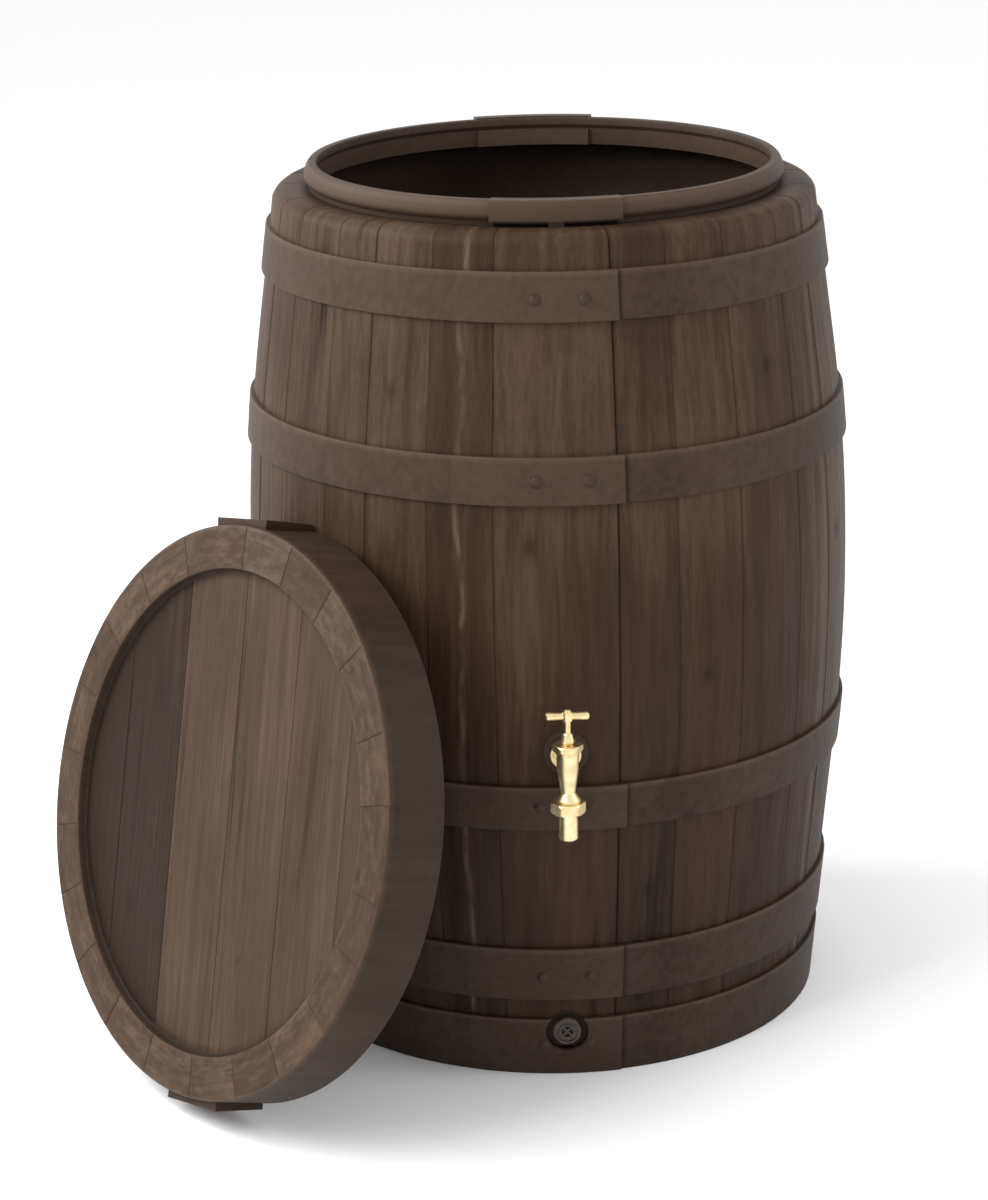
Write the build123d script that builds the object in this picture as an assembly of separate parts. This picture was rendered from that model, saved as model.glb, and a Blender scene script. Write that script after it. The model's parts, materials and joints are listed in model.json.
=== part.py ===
from build123d import *
import os
from math import atan, cos, degrees, radians, sin, sqrt, tan

# Rain barrel with a loose lid, a brass draw-off tap and a drain plug.
# Millimetres. Origin at the centre of the barrel's base, +Z up, tap side towards -Y.

# ---- driving dimensions: barrel shell ----
wall = 5.0
belly_r = 336.5            # stave radius at the widest level
belly_z = 495.0
belly_arc_r = 2000.0       # curvature of the belly between the two tapered ends
lower_slope = 0.095        # stave radius gained per mm of height, below the belly
upper_slope = 0.135        # stave radius lost per mm of height, above the belly
shoulder_z = 930.0
shoulder_round = 16.0
rim_z = 956.0
rim_inner_r = 247.5
neck_r = 257.0
neck_inner_r = 250.0
bead_r = 262.0             # snap bead just below the rim
bead_z = 941.0
groove_width = 2.2
groove_depth = 1.6
floor_round = 14.0

# The staves are uneven, as in a coopered barrel. Angles run from -Y towards +X.
stave_edges = [-25, -12.5, 10, 21.5, 35, 51, 63, 78, 95, 108, 122, 140, 152, 167, 181, 198, 211, 226,
               238, 254, 268, 286, 298, 312, 322]

# ---- driving dimensions: hoops ----
hoop_levels = [(0, 67), (91, 153), (296, 346), (654, 704), (841, 892)]
hoop_proud = 4.0
hoop_edge = 1.0            # bevel along both edges of a hoop
channel_depth = 3.5        # the inner face follows each hoop, so that the wall stays even
channel_inset = 5.0
lap_end = 11.2             # angle where the overlapping end of the hoop stops
lap_start = -20.0
lap_shift = 3.9            # the overlap is the same hoop, shifted towards lap_shift_angle
lap_shift_angle = 66.5
rivet_angle = 4.7
rivet_r = 6.5
rivet_height = 4.0
rivet_levels = [36.5, 120.5, 325.0, 679.5, 864.0]

# ---- driving dimensions: locking lugs of the collar, at the front and at the back ----
lug_half_angle = 15.0
lug_r = 266.0
lug_levels = (933.6, 957.5)
slot_levels = (930.0, 933.6)
slot_depth = 4.0
hook_width = 16.0

# ---- driving dimensions: tap ----
tap_y = -375.0             # the tap's own axis is vertical, in front of the wall
inlet_z = 385.0
boss_outer_y = -335.0
boss_inner_y = -325.0
boss_r = 24.0
shank_r = 10.45
shank_hole_r = 10.6
inlet_bore_r = 5.5
flange_washer_t = 3.0
tap_flange_r = 16.0
body_r = 11.5
body_waist_r = 7.75
body_top_z = 402.5
body_taper_top_z = 384.0
waist_z = 357.0
chamber_r = 7.0
seat_z = 367.0
outlet_bore_r = 4.5
spigot_r = 13.2
spigot_z = 342.0
bonnet_thread_r = 8.4
bonnet_bottom_z = 393.0
gasket_t = 1.0
bonnet_hex_af = 29.0
bonnet_hex_t = 7.0
spindle_thread_r = 5.0
stem_r = 3.5
bar_z = 441.0
bar_r = 4.5
bar_length = 45.0
bar_boss_r = 5.5
union_nut_z = (335.0, 347.0)
union_nut_af = 33.0
tail_r = 10.0
tail_bore_r = 7.0
tail_tip_z = 305.0
tail_step_z = 333.0       # above this level the tail is slimmer, to pass through the union nut
tail_flange_r = 12.7
thread_gap = 0.1           # radial clearance of every plain thread stand-in
running_gap = 0.05

# ---- driving dimensions: drain plug ----
drain_z = 52.0
drain_recess_r = 23.0
drain_floor_y = -299.0
drain_boss_r = 27.0
drain_boss_inner_y = -285.0
plug_head_r = 15.5
plug_head_t = 7.0
plug_seal_t = 2.5
plug_shank_r = 10.45
plug_shank_length = 12.7
plug_socket_r = 6.5
plug_socket_depth = 5.0
plug_web = 2.0

# ---- driving dimensions: lid ----
lid_face_r = 304.5
lid_skirt_r = 308.0
lid_depth = 69.0
lid_wall = 4.0
lid_edge_round = 4.0
lid_panel_r = 257.5
lid_recess = 10.0
lid_groove = 1.2
plank_seams = [-185, -84, 18, 118, 219]
ring_seams = [4, 20, 36, 51, 69, 83, 102, 115, 131, 148, 163, 179, 196, 213, 230, 246, 261, 278, 293, 309,
              325, 342]
grip_half_width = 45.0
grip_flat_r = 311.4
grip_levels = (-lid_depth, -8.0)
lid_azimuth = 54.3         # direction that the face looks towards, from -Y towards -X
lid_tilt = 15.8            # the face looks up by this angle, because the lid leans on the barrel
lid_turn = 10.3            # the planks are turned by this angle from the slope of the lid
lid_stand_azimuth = 50.5   # direction from the barrel's axis to the middle of the lid's face
lid_stand_off = 486.4


# ---- shared helpers ----
def direction(angle):
    """Unit vector at an angle from -Y towards +X."""
    return Vector(sin(radians(angle)), -cos(radians(angle)), 0)


def stave_radius(z):
    """Outer radius of the staves: a cone, an arc over the belly, and a steeper cone."""
    lower_end = belly_z - belly_arc_r * sin(atan(lower_slope))
    upper_end = belly_z + belly_arc_r * sin(atan(upper_slope))
    level = min(max(z, lower_end), upper_end)
    on_arc = belly_r - belly_arc_r + sqrt(belly_arc_r ** 2 - (level - belly_z) ** 2)
    if z < lower_end:
        return on_arc - lower_slope * (lower_end - z)
    return on_arc - upper_slope * max(0.0, z - upper_end)


def stave_line(bottom_z, top_z, offset=0.0):
    """The stave outline between two levels, moved outwards by an offset: line, arc, line."""
    lower_end = belly_z - belly_arc_r * sin(atan(lower_slope))
    upper_end = belly_z + belly_arc_r * sin(atan(upper_slope))
    a = (stave_radius(bottom_z) + offset, 0, bottom_z)
    b = (stave_radius(lower_end) + offset, 0, lower_end)
    c = (belly_r + offset, 0, belly_z)
    d = (stave_radius(upper_end) + offset, 0, upper_end)
    e = (stave_radius(top_z) + offset, 0, top_z)
    return [Line(a, b), ThreePointArc(b, c, d), Line(d, e)]


def spin(edges):
    """Solid of revolution about Z from a closed outline in the XZ plane."""
    return revolve(make_face(Wire(edges)), Axis.Z)


def outline(points):
    """Straight edges through points (radius, z), closed."""
    places = [(r, 0, z) for r, z in points]
    return [Line(a, b) for a, b in zip(places, places[1:] + places[:1])]


def ring(inner_r, outer_r, bottom, top):
    """Plain washer or tube about Z."""
    return spin(outline([(inner_r, bottom), (outer_r, bottom), (outer_r, top), (inner_r, top)]))


def disc(radius, bottom, top):
    """Plain cylinder about Z between two levels."""
    return Pos(0, 0, (bottom + top) / 2) * Cylinder(radius, top - bottom)


def cross_disc(radius, start_y, end_y, z):
    """Plain cylinder along Y between two planes, at a level."""
    return Pos(0, (start_y + end_y) / 2, z) * Rot(90, 0, 0) * Cylinder(radius, abs(end_y - start_y))


def hexagon(flats, bottom, top):
    """Hexagonal prism about Z, with its corners towards +X and -X."""
    profile = RegularPolygon(flats / 2, 6, major_radius=False)
    return Pos(0, 0, bottom) * extrude(profile, top - bottom)


def sector(inner_r, outer_r, bottom, top, half_angle, centre_angle):
    """Piece of a ring, centred on an angle from -Y towards +X."""
    section = make_face(Wire(outline([(inner_r, bottom), (outer_r, bottom), (outer_r, top), (inner_r, top)])))
    turned = revolve(section, Axis.Z, 2 * half_angle)
    return Rot(0, 0, centre_angle - 90 - half_angle) * turned


# ---- barrel shell ----
def shell_outside(offset=0.0):
    """Solid inside the outer face of staves and shoulder, taken in by an offset."""
    top = shoulder_z - offset
    corner_z = shoulder_z - shoulder_round
    corner_r = stave_radius(corner_z) - offset
    bend = shoulder_round - offset
    middle = (corner_r - bend * (1 - cos(radians(45))), 0, corner_z + bend * sin(radians(45)))
    staves = stave_line(0, corner_z, -offset)
    return spin(staves + [
        ThreePointArc((corner_r, 0, corner_z), middle, (corner_r - bend, 0, top)),
        Line((corner_r - bend, 0, top), (0, 0, top)),
        Line((0, 0, top), (0, 0, 0)),
        Line((0, 0, 0), (stave_radius(0) - offset, 0, 0)),
    ])


def shell_inside():
    """Solid that fills the tank up to the underside of the shoulder."""
    top = shoulder_z - wall
    corner_z = shoulder_z - shoulder_round
    corner_r = stave_radius(corner_z) - wall
    bend = shoulder_round - wall
    bottom_r = stave_radius(floor_round + wall) - wall
    shoulder_middle = (corner_r - bend * (1 - cos(radians(45))), 0, corner_z + bend * sin(radians(45)))
    floor_middle = (
        bottom_r - floor_round * (1 - cos(radians(45))), 0, wall + floor_round * (1 - sin(radians(45))))
    return spin(stave_line(floor_round + wall, corner_z, -wall) + [
        ThreePointArc((corner_r, 0, corner_z), shoulder_middle, (corner_r - bend, 0, top)),
        Line((corner_r - bend, 0, top), (0, 0, top)),
        Line((0, 0, top), (0, 0, wall)),
        Line((0, 0, wall), (bottom_r - floor_round, 0, wall)),
        ThreePointArc((bottom_r - floor_round, 0, wall), floor_middle, (bottom_r, 0, floor_round + wall)),
    ])


def collar():
    """Neck with its snap bead and rim, standing on the shoulder."""
    foot = shoulder_z - wall
    return spin([
        Line((neck_inner_r, 0, foot), (neck_r, 0, foot)),
        Line((neck_r, 0, foot), (neck_r, 0, shoulder_z + 4)),
        ThreePointArc((neck_r, 0, shoulder_z + 4), (bead_r, 0, bead_z), (neck_r + 1, 0, rim_z - 2)),
        Line((neck_r + 1, 0, rim_z - 2), (neck_r - 1, 0, rim_z)),
        Line((neck_r - 1, 0, rim_z), (rim_inner_r + 1, 0, rim_z)),
        Line((rim_inner_r + 1, 0, rim_z), (rim_inner_r, 0, rim_z - 2)),
        Line((rim_inner_r, 0, rim_z - 2), (rim_inner_r, 0, rim_z - 8)),
        Line((rim_inner_r, 0, rim_z - 8), (neck_inner_r, 0, rim_z - 12)),
        Line((neck_inner_r, 0, rim_z - 12), (neck_inner_r, 0, foot)),
    ])


def stave_grooves():
    """Meridional slots, one at each stave edge, that stop at the groove's depth."""
    blades = [
        Rot(0, 0, angle - 90) * Pos(300, 0, shoulder_z / 2) * Box(120, groove_width, shoulder_z + 2)
        for angle in stave_edges
    ]
    return Compound(blades) - shell_outside(groove_depth)


def hoop_section(bottom, top, inside, proud):
    """Cross-section of a flat hoop that follows the taper of the staves."""
    inner_low = stave_radius(bottom) - inside
    inner_high = stave_radius(top) - inside
    outer_low = stave_radius(bottom) + proud
    outer_high = stave_radius(top) + proud
    return outline([
        (inner_low, bottom), (outer_low - hoop_edge, bottom), (outer_low, bottom + hoop_edge),
        (outer_high, top - hoop_edge), (outer_high - hoop_edge, top), (inner_high, top),
    ])


def hoop(bottom, top):
    """One moulded hoop with its overlapping end and two rivet heads."""
    section = hoop_section(bottom, top, groove_depth + 0.5, hoop_proud)
    band = spin(section)
    lap = revolve(make_face(Wire(section)), Axis.Z, lap_end - lap_start)
    shift = lap_shift * direction(lap_shift_angle)
    return band + Pos(*shift) * (Rot(0, 0, lap_start - 90) * lap)


def rivet(angle, z):
    """Domed rivet head standing on the overlap of a hoop."""
    sphere_r = (rivet_r ** 2 + rivet_height ** 2) / (2 * rivet_height)
    dome = Pos(0, 0, rivet_height - sphere_r) * Sphere(sphere_r)
    head = dome & (Pos(0, 0, rivet_height / 2) * Cylinder(rivet_r, rivet_height + 2))
    lift = lap_shift * cos(radians(angle - lap_shift_angle))
    radius = stave_radius(z) + hoop_proud + lift
    place = Plane(origin=direction(angle) * radius + Vector(0, 0, z), z_dir=direction(angle))
    return place * head


def inner_channel(bottom, top):
    """Shallow channel on the inside of the wall, behind a hoop."""
    low = max(bottom + channel_inset, floor_round + wall)
    high = top - channel_inset
    depth = wall - channel_depth
    return spin(outline([
        (stave_radius(low) - wall - 2, low - 2), (stave_radius(low) - depth, low + channel_depth),
        (stave_radius(high) - depth, high - channel_depth), (stave_radius(high) - wall - 2, high + 2),
    ]))


def lug_pair(angle):
    """The prouder, taller stretch of the rim that the lid locks under."""
    return sector(neck_inner_r + 1, lug_r, *lug_levels, lug_half_angle, angle)


def slot_cut(angle):
    return sector(neck_r - slot_depth, lug_r + 5, *slot_levels, lug_half_angle - 1, angle)


def slot_back(angle):
    """Inward bulge that keeps the neck's thickness behind the slot."""
    return sector(neck_inner_r - slot_depth, neck_inner_r + 1, shoulder_z - wall, rim_z - 13, lug_half_angle, angle)


def barrel_body():
    shell = shell_outside() - stave_grooves()
    shell -= shell_inside()
    for bottom, top in hoop_levels:
        shell -= inner_channel(bottom, top)
    shell += collar()
    shell -= disc(neck_inner_r, shoulder_z - wall - 1, shoulder_z + 1)
    for bottom, top in hoop_levels:
        shell += hoop(bottom, top)
    for z in rivet_levels:
        for angle in (-rivet_angle, rivet_angle):
            shell += rivet(angle, z)
    for angle in (0, 180):
        shell += lug_pair(angle)
        shell += slot_back(angle)
        shell -= slot_cut(angle)
    shell += Pos(0, -neck_r, slot_levels[1]) * Box(hook_width, 8, 2 * (slot_levels[1] - slot_levels[0]) - 2)
    shell += cross_disc(boss_r, boss_inner_y, boss_outer_y, inlet_z)
    shell -= cross_disc(shank_hole_r, boss_inner_y + 20, boss_outer_y - 20, inlet_z)
    shell += cross_disc(drain_boss_r, drain_boss_inner_y, drain_floor_y - 3, drain_z)
    shell -= cross_disc(drain_recess_r, drain_floor_y, drain_floor_y - 40, drain_z)
    shell -= cross_disc(shank_hole_r, drain_boss_inner_y + 20, drain_floor_y - 20, drain_z)
    return shell


# ---- tap ----
def on_tap_axis(shape):
    return Pos(0, tap_y, 0) * shape


def tap_body():
    """Casting: vertical valve barrel, horizontal inlet with flange and shank, outlet spigot below."""
    barrel = spin(outline([
        (0, spigot_z), (spigot_r, spigot_z), (spigot_r, 350.0), (body_waist_r + 1.5, 355.0),
        (body_waist_r, waist_z), (body_r, body_taper_top_z), (body_r, body_top_z - 3),
        (body_r + 1.0, body_top_z - 2), (body_r + 1.0, body_top_z), (0, body_top_z),
    ]))
    flange_back = boss_outer_y - flange_washer_t
    casting = on_tap_axis(barrel)
    casting += cross_disc(9.0, flange_back, tap_y + 2, inlet_z)
    casting += Pos(0, flange_back - 3, inlet_z) * Rot(90, 0, 0) * extrude(
        RegularPolygon(12.0, 6, major_radius=False), 5.0)
    casting += cross_disc(tap_flange_r, flange_back, flange_back - 3, inlet_z)
    casting += cross_disc(shank_r, flange_back, boss_inner_y + 15, inlet_z)
    casting -= cross_disc(inlet_bore_r, tap_y, boss_inner_y + 20, inlet_z)
    casting -= on_tap_axis(disc(outlet_bore_r, spigot_z - 1, body_top_z + 1))
    casting -= on_tap_axis(disc(spigot_r - 4, spigot_z - 1, spigot_z + 6))
    casting -= on_tap_axis(ring(6.0, chamber_r, seat_z - 1, body_top_z + 1))
    casting -= on_tap_axis(disc(6.1, seat_z, body_top_z + 1))
    casting -= on_tap_axis(disc(bonnet_thread_r + thread_gap, bonnet_bottom_z, body_top_z + 1))
    return casting


def tap_bonnet():
    """Head of the valve: hexagon, thread into the body, threaded bore for the spindle, neck for the packing."""
    hex_bottom = body_top_z + gasket_t
    hex_top = hex_bottom + bonnet_hex_t
    rounding = spin(outline([
        (0, hex_bottom), (15.0, hex_bottom), (16.3, hex_bottom + 1.2), (16.3, hex_top - 1.8), (14.3, hex_top),
        (0, hex_top),
    ]))
    head = hexagon(bonnet_hex_af, hex_bottom, hex_top) & rounding
    head += disc(bonnet_thread_r, bonnet_bottom_z, hex_bottom)
    head += disc(stem_r + 2.2, hex_top, hex_top + 5)
    head -= disc(spindle_thread_r + thread_gap, bonnet_bottom_z - 1, hex_top - 0.5)
    head -= disc(stem_r + running_gap, bonnet_bottom_z - 1, hex_top + 6)
    return on_tap_axis(head)


def tap_gland_nut():
    """Conical cap that presses the packing round the stem."""
    base = body_top_z + gasket_t + bonnet_hex_t + 1
    cap = spin(outline([
        (0, base), (6.4, base), (7.0, base + 0.8), (7.0, base + 3), (5.2, base + 10), (4.6, base + 10.8),
        (0, base + 10.8),
    ]))
    cap -= disc(stem_r + 2.2 + thread_gap, base - 1, base + 7)
    cap -= disc(stem_r + running_gap, base - 1, base + 12)
    return on_tap_axis(cap)


def tap_packing():
    neck_top = body_top_z + gasket_t + bonnet_hex_t + 5
    return on_tap_axis(ring(stem_r + running_gap, stem_r + 2.2, neck_top, neck_top + 3))


def tap_spindle():
    """Valve spindle: thread, socket for the jumper, stem, shouldered end riveted over the bar."""
    foot = seat_z + 6
    thread_top = 404.5
    bar_bottom = bar_z - bar_r - 0.3
    bar_top = bar_z + bar_r + 0.3
    spindle = spin(outline([
        (0, foot), (spindle_thread_r, foot), (spindle_thread_r, thread_top), (stem_r, thread_top + 0.5),
        (stem_r, bar_bottom), (2.6, bar_bottom), (2.6, bar_top), (4.0, bar_top), (3.6, bar_top + 1.4),
        (2.4, bar_top + 2.3), (0, bar_top + 2.6),
    ]))
    spindle -= disc(2.5 + thread_gap, foot - 1, foot + 13)
    return on_tap_axis(spindle)


def tap_handle_bar():
    """T-bar with rounded ends and a flat boss in the middle."""
    half = bar_length / 2
    bar = Rot(0, 90, 0) * spin(outline([
        (0, -half), (bar_r - 1.5, -half), (bar_r, -half + 1.5), (bar_r - 0.6, -7), (bar_r - 0.6, 7),
        (bar_r, half - 1.5), (bar_r - 1.5, half), (0, half),
    ]))
    bar += disc(bar_boss_r, -bar_r - 0.3, bar_r + 0.3)
    bar -= disc(2.6, -bar_r - 1, bar_r + 1)
    return on_tap_axis(Pos(0, 0, bar_z) * bar)


def tap_jumper():
    """Loose valve disc with its stem and the stud that carries the seat washer."""
    return on_tap_axis(spin(outline([
        (0, seat_z - 3), (1.9, seat_z - 3), (1.9, seat_z + 3), (6.0, seat_z + 3), (6.0, seat_z + 6),
        (2.5, seat_z + 6), (2.5, seat_z + 17), (0, seat_z + 17),
    ])))


def tap_body_parts():
    """Everything of the tap that is fixed to the barrel."""
    hex_gasket = on_tap_axis(ring(bonnet_thread_r + 0.4, body_r + 0.5, body_top_z, body_top_z + gasket_t))
    outer_washer = cross_disc(tap_flange_r + 1, boss_outer_y, boss_outer_y - flange_washer_t, inlet_z)
    outer_washer -= cross_disc(shank_hole_r, boss_outer_y + 5, boss_outer_y - 10, inlet_z)
    inner_washer = cross_disc(tap_flange_r + 1, boss_inner_y, boss_inner_y + 3, inlet_z)
    inner_washer -= cross_disc(shank_hole_r, boss_inner_y - 5, boss_inner_y + 10, inlet_z)
    nut = Pos(0, boss_inner_y + 11, inlet_z) * Rot(90, 0, 0) * hexagon(30.0, 0, 8)
    nut -= cross_disc(shank_r + thread_gap, boss_inner_y - 5, boss_inner_y + 20, inlet_z)
    return {
        "tap_body": tap_body(),
        "tap_flange_washer": outer_washer,
        "tap_inner_washer": inner_washer,
        "tap_backnut": nut,
        "tap_bonnet": tap_bonnet(),
        "tap_bonnet_gasket": hex_gasket,
        "tap_gland_nut": tap_gland_nut(),
        "tap_packing": tap_packing(),
    }


def tap_moving_parts():
    """Spindle with its bar, jumper with its washer, and the union below."""
    washer = on_tap_axis(ring(2.0, 6.0, seat_z, seat_z + 3))
    washer_nut = on_tap_axis(hexagon(6.6, seat_z - 2.4, seat_z) - disc(2.0, seat_z - 4, seat_z + 1))
    low, high = union_nut_z
    crown = spin(outline([
        (0, low), (17.2, low), (18.4, low + 1.5), (18.4, high - 1.5), (17.2, high), (0, high),
    ]))
    nut = hexagon(union_nut_af, low, high) & crown
    nut -= disc(spigot_r + thread_gap, low + 2.5, high + 1)
    nut -= disc(tail_r + 0.3, low - 1, high)
    flange_bottom = low + 2.5
    tail = spin(outline([
        (tail_bore_r, tail_tip_z), (tail_r - 1, tail_tip_z), (tail_r, tail_tip_z + 1.5),
        (tail_r, tail_step_z), (tail_r - 0.4, tail_step_z), (tail_r - 0.4, flange_bottom),
        (tail_flange_r, flange_bottom), (tail_flange_r, flange_bottom + 2.5),
        (tail_bore_r, flange_bottom + 2.5),
    ]))
    return {
        "tap_spindle": tap_spindle(),
        "tap_handle_bar": tap_handle_bar(),
        "tap_jumper": tap_jumper(),
        "tap_seat_washer": washer,
        "tap_washer_nut": washer_nut,
        "tap_union_nut": on_tap_axis(nut),
        "tap_hose_tail": on_tap_axis(tail),
        "tap_union_washer": on_tap_axis(ring(tail_bore_r + 1, tail_flange_r, flange_bottom + 2.5, spigot_z)),
    }


# ---- drain plug ----
def drain_plug():
    """Screw plug with a dished head and a round socket crossed by two webs."""
    seat_y = drain_floor_y - plug_seal_t
    front_y = seat_y - plug_head_t
    plug = cross_disc(plug_head_r, seat_y, front_y, drain_z)
    plug = chamfer(plug.edges().sort_by(Axis.Y)[0], 1.5)
    plug -= cross_disc(plug_head_r - 3.5, front_y + 2, front_y - 1, drain_z)
    plug += cross_disc(plug_socket_r + 2, seat_y, front_y + 0.5, drain_z)
    plug -= cross_disc(plug_socket_r, front_y + plug_socket_depth, front_y - 1, drain_z)
    for angle in (45, -45):
        web = Pos(0, front_y + 3.5, drain_z) * Rot(0, angle, 0) * Box(2 * plug_socket_r + 1, 4, plug_web)
        plug += web
    plug += cross_disc(plug_shank_r, seat_y, drain_floor_y + plug_shank_length, drain_z)
    return plug


def drain_plug_seal():
    seal = cross_disc(plug_head_r - 1, drain_floor_y, drain_floor_y - plug_seal_t, drain_z)
    return seal - cross_disc(plug_shank_r + running_gap, drain_floor_y + 5, drain_floor_y - 10, drain_z)


# ---- lid ----
def lid_local():
    """Lid in its own frame: face ring at z = 0 looking up, planks along Y."""
    underside_r = lid_panel_r + lid_wall
    body = spin([
        Line((0, 0, -lid_recess), (lid_panel_r - 3, 0, -lid_recess)),
        Line((lid_panel_r - 3, 0, -lid_recess), (lid_panel_r, 0, -lid_recess + 3)),
        Line((lid_panel_r, 0, -lid_recess + 3), (lid_panel_r, 0, -2)),
        Line((lid_panel_r, 0, -2), (lid_panel_r + 2, 0, 0)),
        Line((lid_panel_r + 2, 0, 0), (lid_face_r - lid_edge_round, 0, 0)),
        ThreePointArc((lid_face_r - lid_edge_round, 0, 0),
                      (lid_face_r - lid_edge_round * (1 - sin(radians(45))), 0,
                       -lid_edge_round * (1 - cos(radians(45)))),
                      (lid_face_r, 0, -lid_edge_round)),
        Line((lid_face_r, 0, -lid_edge_round), (lid_skirt_r, 0, -lid_depth)),
        Line((lid_skirt_r, 0, -lid_depth), (lid_skirt_r - lid_wall, 0, -lid_depth)),
        Line((lid_skirt_r - lid_wall, 0, -lid_depth), (lid_face_r - lid_wall, 0, -lid_wall - 3)),
        Line((lid_face_r - lid_wall, 0, -lid_wall - 3), (lid_face_r - lid_wall - 3, 0, -lid_wall)),
        Line((lid_face_r - lid_wall - 3, 0, -lid_wall), (underside_r, 0, -lid_wall)),
        Line((underside_r, 0, -lid_wall), (underside_r, 0, -lid_recess - lid_wall)),
        Line((underside_r, 0, -lid_recess - lid_wall), (0, 0, -lid_recess - lid_wall)),
        Line((0, 0, -lid_recess - lid_wall), (0, 0, -lid_recess)),
    ])
    grip_low, grip_high = grip_levels
    outside = Pos(0, 0, (grip_low + grip_high) / 2) * Box(
        2 * grip_half_width, 2 * grip_flat_r, grip_high - grip_low)
    hollow = spin(outline([
        (0, -lid_depth - 1), (lid_skirt_r - lid_wall, -lid_depth), (lid_face_r - lid_wall, 0), (0, 0),
    ]))
    body += outside - hollow
    for angle in ring_seams:
        cut = Pos(0, (lid_panel_r + lid_face_r) / 2 + 4, 0) * Box(1.6, lid_face_r - lid_panel_r, 2 * lid_groove)
        body -= Rot(0, 0, -angle) * cut
    for x in plank_seams:
        half = sqrt((lid_panel_r - 3) ** 2 - x ** 2)
        body -= Pos(x, 0, -lid_recess) * Box(2.0, 2 * half, 2 * lid_groove)
    return body


def lid_place():
    """Plane of the lid's face as it leans against the barrel with one grip corner on the floor."""
    tilt = radians(lid_tilt)
    outward = direction(-lid_azimuth)
    normal = outward * cos(tilt) + Vector(0, 0, sin(tilt))
    right = Vector(0, 0, 1).cross(outward)
    upward = normal.cross(right)
    turn = radians(lid_turn)
    x_dir = right * cos(turn) + upward * sin(turn)
    corner_r = sqrt(grip_flat_r ** 2 + grip_half_width ** 2)
    corner_turn = degrees(atan(grip_half_width / grip_flat_r)) - lid_turn
    drop = corner_r * cos(radians(corner_turn)) * cos(tilt) + lid_depth * sin(tilt)
    middle = direction(-lid_stand_azimuth) * lid_stand_off + Vector(0, 0, drop)
    return Plane(origin=middle, x_dir=x_dir, z_dir=normal)


def lid():
    return lid_place() * lid_local()


# ---- write the parts ----
os.makedirs("parts", exist_ok=True)
nodes = {"barrel_body": barrel_body(), "lid": lid(), "drain_plug": drain_plug(), "drain_plug_seal": drain_plug_seal()}
nodes.update(tap_body_parts())
nodes.update(tap_moving_parts())
for name, shape in nodes.items():
    export_step(shape, f"parts/{name}.step")
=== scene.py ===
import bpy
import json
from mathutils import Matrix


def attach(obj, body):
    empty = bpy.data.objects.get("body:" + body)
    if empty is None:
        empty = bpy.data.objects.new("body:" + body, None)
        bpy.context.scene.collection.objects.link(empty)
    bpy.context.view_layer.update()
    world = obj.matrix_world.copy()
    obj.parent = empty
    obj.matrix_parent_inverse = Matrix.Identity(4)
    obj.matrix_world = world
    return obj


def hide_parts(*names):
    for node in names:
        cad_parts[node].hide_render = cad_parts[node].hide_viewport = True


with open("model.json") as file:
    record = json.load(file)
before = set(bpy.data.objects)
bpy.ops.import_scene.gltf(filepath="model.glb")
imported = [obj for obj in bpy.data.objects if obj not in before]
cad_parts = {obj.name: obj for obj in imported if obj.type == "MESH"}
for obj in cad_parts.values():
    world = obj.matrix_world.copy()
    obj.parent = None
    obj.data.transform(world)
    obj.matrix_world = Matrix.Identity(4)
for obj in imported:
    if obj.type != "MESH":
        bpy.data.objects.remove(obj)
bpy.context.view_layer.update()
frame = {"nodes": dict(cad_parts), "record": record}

import json
from math import atan, atan2, cos, degrees, hypot, radians, sin, sqrt

import bpy
import numpy as np
from mathutils import Matrix, Vector

# Rain barrel of moulded plastic with a wood pattern. Lengths below are in millimetres, angles in degrees.
# Angles round the barrel run from -Y (the tap's side) towards +X.
MM = 0.001

# ---------------------------------------------------------------- barrel dimensions
WALL = 5.0
BELLY_R, BELLY_Z, BELLY_ARC = 336.5, 495.0, 2000.0
LOWER_SLOPE, UPPER_SLOPE = 0.095, 0.135
SHOULDER_Z, SHOULDER_ROUND = 930.0, 16.0
RIM_Z, RIM_INNER_R = 956.0, 247.5
NECK_R, NECK_INNER_R, BEAD_R, BEAD_Z = 257.0, 250.0, 262.0, 941.0
GROOVE_HALF, GROOVE_DEPTH = 0.21, 1.6
FLOOR_ROUND = 14.0
STAVE_EDGES = [-25, -12.5, 10, 21.5, 35, 51, 63, 78, 95, 108, 122, 140, 152,
               167, 181, 198, 211, 226, 238, 254, 268, 286, 298, 312, 322]
MAIN_SEAM_ANGLE = 10.0  # the one seam that is cut deep
HOOP_1, HOOP_2, HOOP_3, HOOP_4, HOOP_5 = (0, 67), (91, 153), (296, 346), (654, 704), (841, 892)
HOOPS = [HOOP_1, HOOP_2, HOOP_3, HOOP_4, HOOP_5]
LOWER_CUT, UPPER_CUT = 308.0, 664.0  # levels, inside two hoops, where one wall piece ends and the next begins
HOOP_PROUD, HOOP_EDGE = 4.0, 1.0
CHANNEL_DEPTH, CHANNEL_INSET = 3.5, 5.0
LAP_START, LAP_END, LAP_SHIFT, LAP_SHIFT_ANGLE = -20.0, 11.2, 3.9, 66.5
RIVET_ANGLE, RIVET_R, RIVET_HEIGHT = 4.7, 6.5, 4.0
RIVET_LEVELS = [36.5, 120.5, 325.0, 679.5, 864.0]
LUG_HALF, LUG_R, LUG_TOP = 15.0, 266.0, 957.5
SLOT_HALF, SLOT_DEPTH, SLOT_TOP, HOOK_HALF = 14.0, 4.0, 933.6, 1.78
BEAD_START, BEAD_END, LUG_SHADE_TOP = 934.2, RIM_Z - 2, 935.4
RIM_STEP = 13.0  # from the rim down to where the lugs' hollows begin
FIRST_ANGLE = -162.0  # where the columns of points begin, on a seam at the back
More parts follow.
